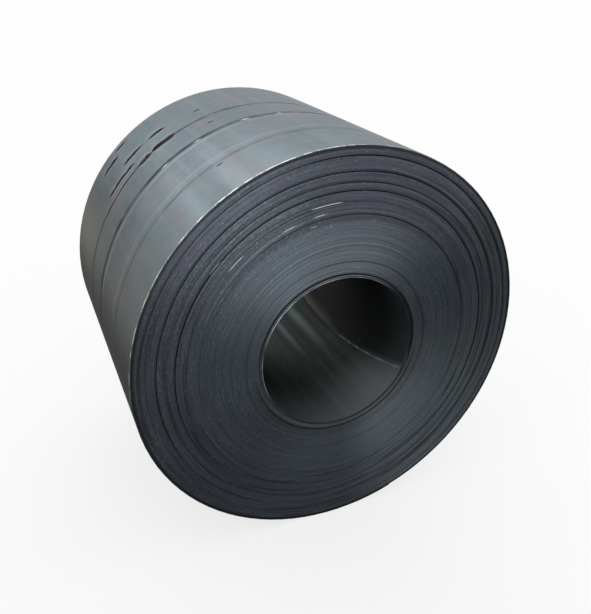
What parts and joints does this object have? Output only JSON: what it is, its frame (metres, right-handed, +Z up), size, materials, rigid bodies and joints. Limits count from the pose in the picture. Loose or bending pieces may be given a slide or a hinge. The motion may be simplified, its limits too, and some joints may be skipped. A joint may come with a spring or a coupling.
{
  "type": "steel coil",
  "caption": "Hot-rolled steel strip wound into a coil, lying on its side, with a round bore for a mandrel or hook and turns showing on its ends.",
  "frame": {"origin": "on the floor under the middle of the coil", "axes": "+Y along the bore from the front end to the back end, +Z up, +X to the right as seen from the front"},
  "size_m": [1.3, 1.006, 1.3],
  "materials": {
    "mill_steel": "dark blue-grey hot-rolled steel with a thin oiled mill scale, satin on the outside and dull on the turn edges"
  },
  "bodies": {
    "root": {"steel_coil": "mill_steel"}
  },
  "joints": []
}
